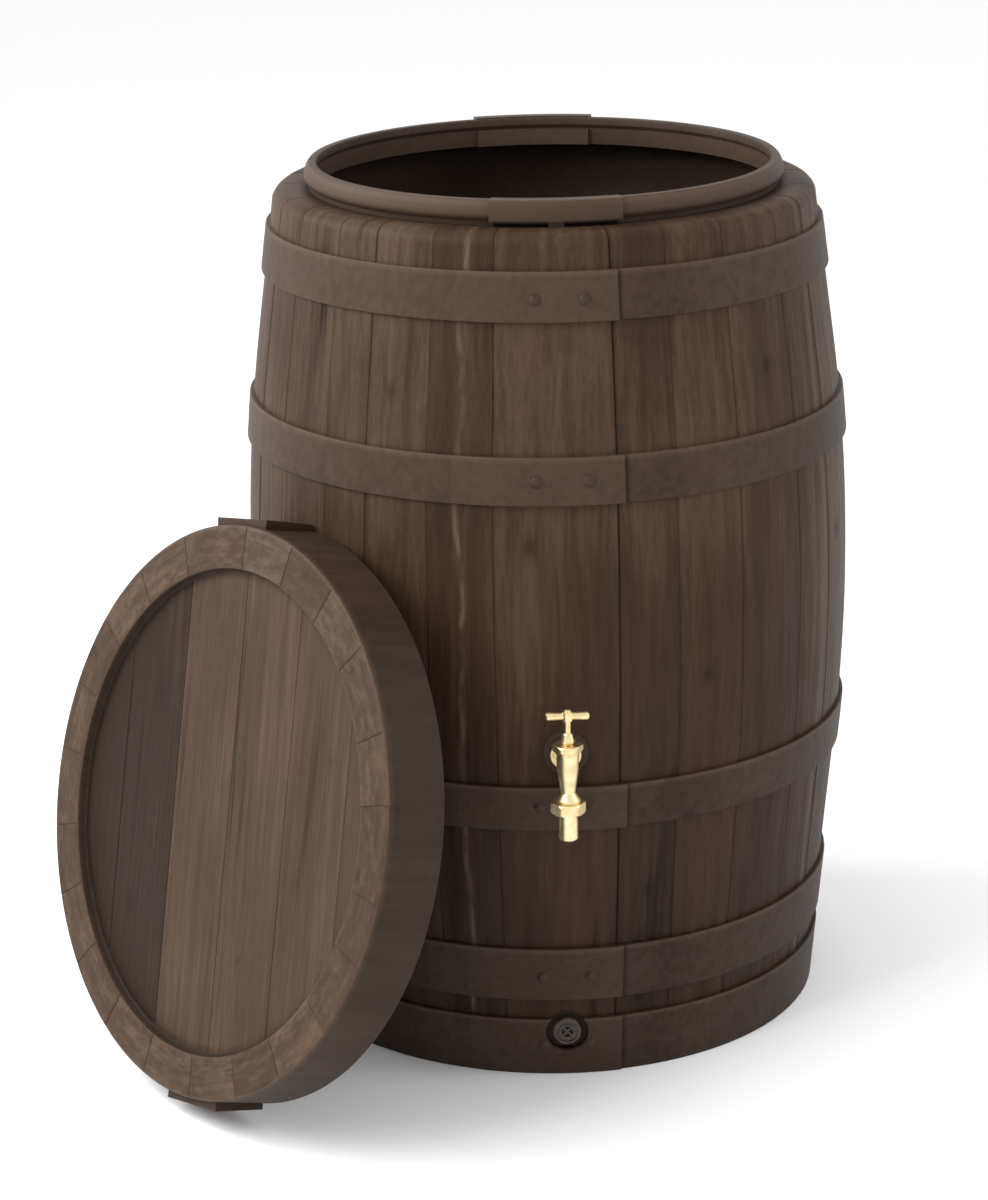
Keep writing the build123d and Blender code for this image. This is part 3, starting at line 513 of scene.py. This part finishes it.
def lid_rim():
    """Face ring with its segments, skirt, grips and underside, closed."""
    corner = degrees(atan(GRIP_HALF / GRIP_FLAT))
    grip_edges = [corner, -corner, 180 - corner, 180 + corner]
    phi = dense_columns(0.5, 360, 0.5, RING_SEAMS, (0.09, 0.18, 0.32), grip_edges)
    seams = np.sort([0.5 + (s - 0.5) % 360 for s in RING_SEAMS])
    segment = (np.searchsorted(seams, phi, side="right") - 1) % len(seams)
    gap = np.abs((phi[:, None] - seams[None, :] + 180) % 360 - 180).min(1)
    groove = LID_GROOVE * 0.6 * np.clip(1 - gap / 0.2, 0, 1) ** 0.8
    seam = 0.45 * np.exp(-(gap / 0.2) ** 2)
    tones = np.random.default_rng(31).uniform(-0.20, 0.22, len(seams))
    warms = np.random.default_rng(32).uniform(-0.5, 0.5, len(seams))
    fine_cells, wide_cells = 300, 90
    fine, wide = Noise(33, fine_cells, 90), Noise(34, wide_cells, 40)
    from_grip = np.minimum(np.abs((phi + 180) % 360 - 180), np.abs(phi - 180))
    in_grip = from_grip < corner
    flat_r = GRIP_FLAT / np.cos(np.radians(from_grip))
    rows, looks = [], []

    def add(r, z, face=0.0, **look):
        r = np.broadcast_to(r, phi.shape).astype(float)
        z = np.broadcast_to(z, phi.shape).astype(float)
        n1 = fine(phi / 360 * fine_cells + segment * 3.1, r / 2.6 + segment * 7.0)
        n2 = wide(phi / 360 * wide_cells + segment * 5.1, r / 7.0 + segment * 3.0)
        rows.append((r, z - face * (groove + 0.16 * (1 - n1) + 0.14 * (1 - n2))))
        base = dict(tone=tones[segment] * face + 0.05, warm=warms[segment] * face,
                    streak=0.5 * n1 + 0.5 * n2, marks_and_shade=0.9 * seam * face, hoop=1.0 - face, pale=0.0)
        base.update(look)
        looks.append({k: np.broadcast_to(base[k], phi.shape) for k in CHANNELS})

    def skirt(z):
        """Outer radius of the skirt, which widens a little from the face down."""
        return FACE_R + (SKIRT_R - FACE_R) * (-z - LID_ROUND) / (LID_DEPTH - LID_ROUND)

    add(PANEL_R - LEDGE, -RECESS - 1.5)
    # painted shade at the foot of the recess wall, painted highlight along its top edge
    add(PANEL_R - 3, -RECESS - 0.4, marks_and_shade=0.8)
    add(PANEL_R - 1.2, -RECESS + 1.0, marks_and_shade=0.7)
    add(PANEL_R, -RECESS + 3, marks_and_shade=0.35)
    add(PANEL_R, -2.0, marks_and_shade=0.0, pale=0.1)
    add(PANEL_R + 0.6, -0.7, face=0.5, pale=0.25)
    for r in levels(PANEL_R + 2, FACE_R - LID_ROUND, 2.8):
        add(r, 0.0, face=1.0)
    # painted highlight along the rounded edge of the face
    for a in (22, 45, 67, 90):
        angle = radians(a)
        add(FACE_R - LID_ROUND * (1 - sin(angle)), -LID_ROUND * (1 - cos(angle)), face=1 - a / 95,
            pale=0.35 if a < 60 else 0.15)
    add(skirt(GRIP_TOP + 0.1), GRIP_TOP + 0.05)
    for z in [GRIP_TOP] + levels(-8.3, -LID_DEPTH + 1.2, 6.0):
        add(np.where(in_grip, flat_r, skirt(z)), z, tone=0.0, hoop=np.where(in_grip, 0.35, 1.0))
    # painted highlight along the skirt's lower edge
    add(np.where(in_grip, flat_r - 1.0, skirt(-LID_DEPTH) - 1.0), -LID_DEPTH, pale=0.2)
    add(SKIRT_R - LID_WALL, -LID_DEPTH)
    add((SKIRT_R + FACE_R) / 2 - LID_WALL, -LID_DEPTH / 2)
    add(FACE_R - LID_WALL, -LID_WALL - 3)
    add(FACE_R - LID_WALL - 3, -LID_WALL)
    add(PANEL_R + LID_WALL, -LID_WALL)
    add(PANEL_R + LID_WALL, -RECESS - LID_WALL)
    add(PANEL_R - LEDGE, -RECESS - LID_WALL + 0.02)
    r, z = np.array([a for a, _ in rows]), np.array([b for _, b in rows])
    angle = np.radians(phi)[None, :]
    local = np.stack([r * np.sin(angle), r * np.cos(angle), z], -1).reshape(-1, 3)
    seg = np.tile(segment, len(rows))
    arc = np.tile(np.radians(phi), len(rows)) * RING_MIDDLE_R
    grain = np.stack([r.ravel() + seg * 41.0, z.ravel(), arc * ALONG_GRAIN + seg * 13.0], -1)
    channels = {k: np.concatenate([row[k] for row in looks]) for k in CHANNELS}
    return finish_mesh("lid_rim", to_row(local), [ring_faces(len(rows), len(phi), True)], channels, grain)


def lid_panel():
    """Recessed planks in the middle of the lid, one slab whose edge lies inside the rim."""
    edge = PANEL_R - 0.6
    seams = np.array(PLANK_SEAMS)
    plain = np.arange(-edge + 0.6, edge - 0.3, 1.7)
    keep = np.abs(plain[:, None] - seams[None, :]).min(1) > 1.9
    offsets = np.array([-1.7, -1.1, -0.55, 0, 0.55, 1.1, 1.7])
    x = np.unique(np.concatenate([plain[keep]] + [s + offsets for s in PLANK_SEAMS]))
    half = np.sqrt(edge ** 2 - x ** 2)
    v = np.linspace(-1, 1, 93)
    y = v[:, None] * half[None, :]
    gx = np.broadcast_to(x, y.shape)
    plank = np.searchsorted(PLANK_SEAMS, x, side="right")
    gap = np.abs(x[:, None] - seams[None, :]).min(1)
    groove = LID_GROOVE * 0.5 * np.clip(1 - gap / 1.1, 0, 1) ** 0.8
    fine, wide = Noise(41, 400, 40), Noise(42, 160, 24)
    slow, bend = Noise(43, 60, 16), Noise(44, 24, 12)
    # (x, y, size) of each knot
    knots = [(-122, 120, 15), (-150, -118, 9), (150, -60, 10), (60, -150, 8), (-20, 190, 8), (190, 70, 8)]
    bx = gx + 3.5 * bend(gx / 60, y / 110.0)
    for kx, ky, size in knots:
        away = gx - kx
        reach = np.exp(-(away / (size * 1.4)) ** 2 - ((y - ky) / (size * 3.5)) ** 2)
        bx = bx + 0.55 * size * np.sign(away) * reach
    n1 = fine(bx / 2.6 + plank * 31.0, y / 85.0 + plank * 3.3)
    n2 = wide(bx / 7.5 + plank * 17.0, y / 170.0 + plank * 5.7)
    n3 = slow(bx / 24.0 + plank * 9.0, y / 260.0 + plank * 2.9)
    streak = 0.28 * n1 + 0.24 * n2 + 0.3 * n3
    crack = np.clip(-(n2 + n3) - 1.0, 0, 1) * np.clip(0.4 - n1, 0, 1)
    marks_and_shade = np.clip(0.3 * np.exp(-(gap / 1.1) ** 2)[None, :] + 1.1 * crack, 0, 1)
    relief = 0.15 * (1 - n1) + 0.18 * (1 - n2) + 0.8 * crack
    tones = np.array([-1.25, -1.2, 0.0, -0.03, -0.06, -0.1])[plank]
    warms = np.array([0.7, 0.65, 0.2, 0.3, 0.1, 0.2])[plank]
    blotch = Noise(45, 12, 12)
    tone = tones[None, :] + 0.16 * blotch(gx / 70 + plank * 2.0, y / 90.0)
    for kx, ky, size in knots:
        ring = np.hypot((gx - kx) / size, (y - ky) / (size * 1.5))
        halo = 0.22 * np.exp(-((ring - 1.0) / 0.16) ** 2)
        marks_and_shade = np.clip(marks_and_shade + 0.5 * np.exp(-(ring / 0.5) ** 2) + halo, 0, 1)
        relief = relief + 0.4 * np.exp(-(ring / 0.5) ** 2)
    edge_shade = np.clip((np.hypot(gx, y) - (PANEL_R - 12)) / 9.0, 0, 1) * 0.55
    marks_and_shade = np.clip(marks_and_shade + edge_shade, 0, 1)
    z = -RECESS - groove[None, :] - relief
    rows, cols = y.shape
    top = np.stack([gx, y, z], -1).reshape(-1, 3)
    index = np.arange(rows * cols).reshape(rows, cols)
    quads = np.stack([index[:-1, :-1], index[:-1, 1:], index[1:, 1:], index[1:, :-1]], -1).reshape(-1, 4)
    loop = np.concatenate([index[0, :], index[1:-1, -1], index[-1, ::-1], index[-2:0:-1, 0]])
    low = top[loop].copy()
    low[:, 2] = -RECESS - LID_WALL
    n, start = len(loop), len(top)
    k = np.arange(n)
    nxt = (k + 1) % n
    sides = np.stack([loop[nxt], loop[k], start + k, start + nxt], -1)
    fan = np.stack([start + nxt, start + k, np.full_like(k, start + n)], -1)
    local = np.vstack([top, low, [[0, 0, -RECESS - LID_WALL]]])
    pad = n + 1
    channels = {"tone": np.concatenate([tone.ravel(), np.zeros(pad)]),
                "warm": np.concatenate([np.broadcast_to(warms, y.shape).ravel(), np.zeros(pad)]),
                "streak": np.concatenate([streak.ravel(), np.zeros(pad)]),
                "marks_and_shade": np.concatenate([marks_and_shade.ravel(), np.zeros(pad)]),
                "hoop": np.concatenate([np.zeros(rows * cols), np.ones(pad)])}
    ids = np.concatenate([np.broadcast_to(plank, y.shape).ravel(), np.zeros(pad)])
    grain = np.stack([local[:, 0] + ids * 53.0, local[:, 2], local[:, 1] * ALONG_GRAIN + ids * 17.0], -1)
    return finish_mesh("lid_panel", to_row(local), [quads, sides, fan], channels, grain)


# ---------------------------------------------------------------- small moulded pieces
def turned(axis_y, z):
    """Matrix that turns a lathe's height into the direction -Y, at a point on the barrel's front."""
    m = Matrix.Rotation(radians(90), 4, "X")
    m.translation = Vector((0, axis_y, z))
    return m


def tap_boss():
    """Flat round boss that the tap's flange is drawn against."""
    height = BOSS_INNER_Y - BOSS_OUTER_Y
    profile = [(SHANK_HOLE_R, height), (SHANK_HOLE_R, 0.0), (BOSS_R, 0.0), (BOSS_R, height - 1.6),
               (BOSS_R - 0.5, height - 0.5), (BOSS_R - 1.6, height)]
    return lathe("tap_boss", profile, turned(BOSS_INNER_Y, INLET_Z), 96, tone=-0.05)


def drain_socket():
    """Ring that the drain plug screws into, behind its recess."""
    depth = DRAIN_BOSS_Y - DRAIN_FLOOR_Y
    # its height counts towards -Y, from the inner end
    profile = [(SHANK_HOLE_R, depth), (SHANK_HOLE_R, 0.0), (DRAIN_BOSS_R, 0.0), (DRAIN_BOSS_R, depth)]
    return lathe("drain_socket", profile, turned(DRAIN_BOSS_Y, DRAIN_Z), 96, tone=-0.5)


def rivets():
    """Points and faces of each domed head on the overlaps of the hoops."""
    sphere_r = (RIVET_R ** 2 + RIVET_HEIGHT ** 2) / (2 * RIVET_HEIGHT)
    reach = atan2(RIVET_R, sphere_r - RIVET_HEIGHT)
    profile = [(RIVET_R - 1.0, -2.0), (RIVET_R, -1.0)]
    for a in np.linspace(reach, 0.06, 9):
        profile.append((sphere_r * sin(a), RIVET_HEIGHT - sphere_r + sphere_r * cos(a)))
    made = []
    for z in RIVET_LEVELS:
        for side in (-1, 1):
            angle = side * RIVET_ANGLE
            lift = LAP_SHIFT * cos(radians(angle - LAP_SHIFT_ANGLE))
            out = Vector((sin(radians(angle)), -cos(radians(angle)), 0))
            m = out.to_track_quat("Z", "Y").to_matrix().to_4x4()
            m.translation = out * (stave_radius(z) + HOOP_PROUD + lift - 0.1) + Vector((0, 0, z))
            made.append(closed_lathe(profile, m, 36))
    return made


def closed_lathe(profile, place, segments):
    """Points and faces of a lathe that closes at a point on both ends."""
    angle = np.radians(np.arange(segments) * 360.0 / segments)
    points = np.array([[(r * cos(a), r * sin(a), h) for a in angle] for r, h in profile]).reshape(-1, 3)
    points = np.vstack([points, [(0, 0, profile[0][1]), (0, 0, profile[-1][1])]])
    points = points @ np.array(place.to_3x3()).T + np.array(place.translation)
    j = np.arange(segments)
    over = (j + 1) % segments
    n = len(profile) * segments
    base = n - segments
    fans = np.vstack([np.stack([over, j, np.full_like(j, n)], -1),
                      np.stack([base + j, base + over, np.full_like(j, n + 1)], -1)])
    return points, ring_faces(len(profile), segments, False), fans


def rivet_piece():
    """All the rivets as one piece."""
    points, quads, fans, count = [], [], [], 0
    for p, q, f in rivets():
        points.append(p)
        quads.append(q + count)
        fans.append(f + count)
        count += len(p)
    points = np.vstack(points)
    channels = {"tone": 0.05, "hoop": 1.0}
    return finish_mesh("hoop_rivets", points, [np.vstack(quads), np.vstack(fans)], channels, points)


def cut_recess(piece):
    """Round recess for the drain plug, cut into the lowest hoop."""
    profile = [(DRAIN_R, 0.0), (DRAIN_R, CUTTER_LENGTH)]
    points, quads, fans = closed_lathe(profile, turned(DRAIN_FLOOR_Y, DRAIN_Z), 96)
    cutter = finish_mesh("recess_cutter", points, [quads, fans], {"tone": -0.5, "hoop": 1.0}, points)
    modifier = piece.modifiers.new("recess", "BOOLEAN")
    modifier.operation, modifier.object, modifier.solver = "DIFFERENCE", cutter, "MANIFOLD"
    bpy.context.view_layer.update()
    graph = bpy.context.evaluated_depsgraph_get()
    result = bpy.data.meshes.new_from_object(piece.evaluated_get(graph))
    piece.modifiers.clear()
    old = piece.data
    piece.data = result
    bpy.data.meshes.remove(old)
    bpy.data.objects.remove(cutter)


# ---------------------------------------------------------------- materials
class Shader:
    """A new material with short names for adding and joining nodes."""

    def __init__(self, name):
        self.material = bpy.data.materials.new(name)
        self.material.use_nodes = True
        self.tree = self.material.node_tree
        self.bsdf = self.tree.nodes["Principled BSDF"]

    def node(self, kind, inputs=None, **settings):
        n = self.tree.nodes.new(kind)
        for key, value in settings.items():
            setattr(n, key, value)
        for key, value in (inputs or {}).items():
            self.feed(n.inputs[key], value)
        return n

    def feed(self, socket, value):
        if isinstance(value, bpy.types.NodeSocket):
            self.tree.links.new(value, socket)
        else:
            socket.default_value = value

    def attribute(self, name, output="Fac"):
        return self.node("ShaderNodeAttribute", attribute_name=name).outputs[output]

    def math(self, operation, a, b=0.0, c=0.0, clamp=False):
        n = self.node("ShaderNodeMath", operation=operation, use_clamp=clamp)
        self.feed(n.inputs[0], a)
        self.feed(n.inputs[1], b)
        if operation == "MULTIPLY_ADD":
            self.feed(n.inputs[2], c)
        return n.outputs[0]

    def mix(self, factor, a, b, blend="MIX"):
        n = self.node("ShaderNodeMix", data_type="RGBA", blend_type=blend)
        self.feed(n.inputs[0], factor)
        self.feed(n.inputs[6], a)
        self.feed(n.inputs[7], b)
        return n.outputs[2]

    def noise(self, vector, scale, detail=4.0, roughness=0.6, distortion=0.0):
        inputs = {"Vector": vector, "Scale": scale, "Detail": detail, "Roughness": roughness,
                  "Distortion": distortion}
        return self.node("ShaderNodeTexNoise", inputs).outputs["Fac"]

    def ramp(self, factor, stops):
        n = self.node("ShaderNodeValToRGB", {"Fac": factor})
        ramp = n.color_ramp
        while len(ramp.elements) < len(stops):
            ramp.elements.new(0.5)
        for element, (place, colour) in zip(ramp.elements, stops):
            element.position, element.color = place, (*colour, 1.0)
        return n.outputs["Color"]

    def bump(self, height, strength, distance, normal=None):
        n = self.node("ShaderNodeBump", {"Height": height, "Strength": strength, "Distance": distance})
        if normal is not None:
            self.feed(n.inputs["Normal"], normal)
        return n.outputs["Normal"]


def wood_plastic(name, dark, middle, light, hoop_dark, hoop_light, pale, beat):
    """Plastic moulded as wood, or as hoops where the points say so; beat is how rough the hoops are."""
    s = Shader(name)
    place = s.node("ShaderNodeTexCoord").outputs["Object"]
    grain = s.attribute("grain", "Vector")
    fine = s.noise(grain, 420.0, 6.0, 0.68, 0.3)
    broad = s.noise(grain, 90.0, 3.0, 0.55, 0.6)
    cloud = s.noise(place, 9.0, 3.0, 0.55)
    value = s.math("MULTIPLY_ADD", fine, 0.42, 0.05)
    value = s.math("MULTIPLY_ADD", broad, 0.26, value)
    value = s.math("MULTIPLY_ADD", cloud, 0.16, value)
    value = s.math("MULTIPLY_ADD", s.attribute("streak"), 0.19, value)
    value = s.math("MULTIPLY_ADD", s.attribute("tone"), 0.34, value)
    wood = s.ramp(value, [(0.12, dark), (0.47, middle), (0.86, light)])
    warm = s.math("MULTIPLY_ADD", s.attribute("warm"), 0.5, 0.5, clamp=True)
    tint = s.mix(warm, (1.0, 1.0, 0.94, 1.0), (1.09, 0.99, 0.9, 1.0))
    wood = s.mix(1.0, wood, tint, "MULTIPLY")
    hammered = s.noise(place, 150.0, 4.0, 0.55)
    speck = s.noise(place, 620.0, 2.0, 0.6)
    band = s.math("MULTIPLY_ADD", hammered, 0.45, 0.1)
    band = s.math("MULTIPLY_ADD", cloud, 0.35, band)
    band = s.math("MULTIPLY_ADD", s.attribute("streak"), 0.35, band)
    band = s.math("MULTIPLY_ADD", s.attribute("tone"), 0.7, band)
    hoops = s.ramp(band, [(0.15, hoop_dark), (0.85, hoop_light)])
    is_hoop = s.attribute("hoop")
    colour = s.mix(is_hoop, wood, hoops)
    # the pale share, broken up by the fine grain: painted highlights on edges and the ridge, and pale wear on
    # the scratch
    pale_patchiness = s.math("MULTIPLY_ADD", fine, 1.3, -0.1, clamp=True)
    highlight_and_scuff = s.math("MULTIPLY", s.attribute("pale"), pale_patchiness, clamp=True)
    colour = s.mix(highlight_and_scuff, colour, (*pale, 1.0))
    # dark seams, cracks and knots, and painted shade in hollows and under edges
    marks_and_shade = s.math("MULTIPLY", s.attribute("marks_and_shade"), 0.72, clamp=True)
    colour = s.mix(marks_and_shade, colour, (*[c * 0.28 for c in dark], 1.0))
    s.feed(s.bsdf.inputs["Base Color"], colour)
    rough = s.math("MULTIPLY_ADD", s.math("ADD", fine, hammered), 0.11, 0.40)
    s.feed(s.bsdf.inputs["Roughness"], s.math("MULTIPLY_ADD", marks_and_shade, 0.2, rough))
    s.bsdf.inputs["IOR"].default_value = 1.49
    s.bsdf.inputs["Specular IOR Level"].default_value = 0.10
    woodgrain = s.math("MULTIPLY_ADD", broad, 0.5, fine)
    beaten = s.math("MULTIPLY", s.math("MULTIPLY_ADD", speck, 0.25, hammered), beat)
    height = s.node("ShaderNodeMix", {0: is_hoop, 2: woodgrain, 3: beaten}, data_type="FLOAT").outputs[0]
    s.feed(s.bsdf.inputs["Normal"], s.bump(height, 0.55, 0.0007))
    return s.material


def brass():
    """Cast and turned brass."""
    s = Shader("cast_brass")
    place = s.node("ShaderNodeTexCoord").outputs["Object"]
    mottled = s.noise(place, 85.0, 4.0, 0.6)
    grit = s.noise(place, 1400.0, 3.0, 0.6)
    marks = {"Vector": place, "Scale": 900.0, "Distortion": 1.5, "Detail": 2.0}
    turned_marks = s.node("ShaderNodeTexWave", marks, wave_type="BANDS", bands_direction="Z").outputs["Fac"]
    stops = [(0.25, (0.62, 0.46, 0.22)), (0.55, (0.80, 0.66, 0.38)), (0.8, (0.93, 0.84, 0.60))]
    colour = s.ramp(mottled, stops)
    s.feed(s.bsdf.inputs["Base Color"], colour)
    s.bsdf.inputs["Metallic"].default_value = 1.0
    s.feed(s.bsdf.inputs["Roughness"], s.math("MULTIPLY_ADD", mottled, 0.18, 0.27))
    height = s.math("MULTIPLY_ADD", turned_marks, 0.25, grit)
    s.feed(s.bsdf.inputs["Normal"], s.bump(height, 0.3, 0.0002))
    return s.material


def soft_matt(name, colour, rough):
    """Plain rubber, fibre or plastic, faintly mottled."""
    s = Shader(name)
    place = s.node("ShaderNodeTexCoord").outputs["Object"]
    mottled = s.noise(place, 160.0, 4.0, 0.6)
    grit = s.noise(place, 900.0, 3.0, 0.6)
    low = tuple(c * 0.6 for c in colour)
    high = tuple(min(1.0, c * 1.6) for c in colour)
    s.feed(s.bsdf.inputs["Base Color"], s.ramp(mottled, [(0.3, low), (0.7, high)]))
    s.feed(s.bsdf.inputs["Roughness"], s.math("MULTIPLY_ADD", grit, 0.2, rough - 0.1))
    s.bsdf.inputs["IOR"].default_value = 1.5
    s.feed(s.bsdf.inputs["Normal"], s.bump(grit, 0.35, 0.0002))
    return s.material


barrel_skin = wood_plastic(
    "barrel_plastic", dark=(0.015, 0.0085, 0.005), middle=(0.036, 0.021, 0.0135), light=(0.086, 0.056, 0.038),
    hoop_dark=(0.024, 0.0145, 0.0095), hoop_light=(0.062, 0.041, 0.029), pale=(0.15, 0.105, 0.076), beat=1.0)
lid_skin = wood_plastic(
    "lid_plastic", dark=(0.016, 0.009, 0.005), middle=(0.046, 0.028, 0.018), light=(0.104, 0.069, 0.046),
    hoop_dark=(0.024, 0.0145, 0.0095), hoop_light=(0.042, 0.027, 0.0185), pale=(0.15, 0.108, 0.08), beat=0.25)
plug_skin = soft_matt("plug_plastic", (0.042, 0.029, 0.021), 0.5)
rubber_skin = soft_matt("black_rubber", (0.018, 0.018, 0.018), 0.7)
fibre_skin = soft_matt("red_fibre", (0.22, 0.07, 0.045), 0.75)
brass_skin = brass()

# ---------------------------------------------------------------- make the pieces
lower, middle, upper = barrel_lower(), barrel_middle(), barrel_upper()
cut_recess(lower)
for piece in (lower, middle, upper, tap_boss(), drain_socket(), rivet_piece()):
    piece.data.materials.clear()
    piece.data.materials.append(barrel_skin)
    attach(piece, "barrel")
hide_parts("barrel_body")

rim, panel = lid_rim(), lid_panel()
for piece in (rim, panel):
    piece.data.materials.append(lid_skin)
    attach(piece, "lid")
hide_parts("lid")

SKINS = {"brass": brass_skin, "rubber": rubber_skin, "gasket_fibre": fibre_skin,
         "plug_plastic": plug_skin}
for entry in frame["record"]["subparts"]:
    node = frame["nodes"][entry["node"]]
    skin = SKINS.get(entry["material_slot"])
    if skin is None:
        continue
    if not node.material_slots:
        node.data.materials.append(skin)
    for place in node.material_slots:
        place.material = skin

# ---------------------------------------------------------------- floor, light and camera, in metres
FLOOR_REACH, FLOOR_GAP = 30, 0.0002
CAMERA_PLACE = (-0.1665, -3.5297, 1.5875)
CAMERA_YAW, CAMERA_PITCH, CAMERA_ROLL = 1.69, 17.889, -1.010
CAMERA_LENS, CAMERA_SENSOR = 97.73, 36.0
floor_mesh = bpy.data.meshes.new("floor")
reach = FLOOR_REACH
floor_mesh.from_pydata([(-reach, -reach, 0), (reach, -reach, 0), (reach, reach, 0), (-reach, reach, 0)],
                       [], [(0, 1, 2, 3)])
floor = bpy.data.objects.new("floor", floor_mesh)
bpy.context.scene.collection.objects.link(floor)
floor.location.z = -FLOOR_GAP
floor_material = bpy.data.materials.new("pale_floor")
floor_material.use_nodes = True
floor_shader = floor_material.node_tree.nodes["Principled BSDF"]
floor_shader.inputs["Base Color"].default_value = (0.95, 0.95, 0.95, 1)
floor_shader.inputs["Roughness"].default_value = 0.9
floor.data.materials.append(floor_material)

world = bpy.data.worlds.new("studio")
world.use_nodes = True
world.node_tree.nodes["Background"].inputs["Color"].default_value = (1, 1, 1, 1)
world.node_tree.nodes["Background"].inputs["Strength"].default_value = 1.0
bpy.context.scene.world = world


def area_light(name, place, target, size, power):
    """A rectangular light that looks at its target."""
    data = bpy.data.lights.new(name, "AREA")
    data.shape, data.size, data.size_y, data.energy = "RECTANGLE", size[0], size[1], power
    lamp = bpy.data.objects.new(name, data)
    lamp.location = place
    lamp.rotation_euler = (Vector(target) - Vector(place)).to_track_quat("-Z", "Y").to_euler()
    bpy.context.scene.collection.objects.link(lamp)


# the power is in watts
area_light("key", (-2.6, -1.5, 3.0), (0, 0, 0.6), (2.4, 2.4), 125)
area_light("right_side", (2.8, -0.7, 1.9), (0, 0, 0.6), (0.8, 2.0), 22)
area_light("left_side", (-2.8, 0.7, 2.0), (0, 0, 0.6), (0.8, 2.0), 55)

yaw, pitch, roll = radians(CAMERA_YAW), radians(CAMERA_PITCH), radians(CAMERA_ROLL)
forward = Vector((sin(yaw) * cos(pitch), cos(yaw) * cos(pitch), -sin(pitch)))
right = Vector((cos(yaw), -sin(yaw), 0.0))
above = right.cross(forward)
right_rolled = right * cos(roll) + above * sin(roll)
up_rolled = above * cos(roll) - right * sin(roll)
camera_data = bpy.data.cameras.new("camera")
camera_data.lens, camera_data.sensor_width, camera_data.sensor_fit = CAMERA_LENS, CAMERA_SENSOR, "AUTO"
camera = bpy.data.objects.new("camera", camera_data)
pose = Matrix((right_rolled, up_rolled, -forward)).transposed().to_4x4()
pose.translation = Vector(CAMERA_PLACE)
camera.matrix_world = pose
bpy.context.scene.collection.objects.link(camera)
bpy.context.scene.camera = camera
bpy.context.scene.view_settings.view_transform = "Standard"
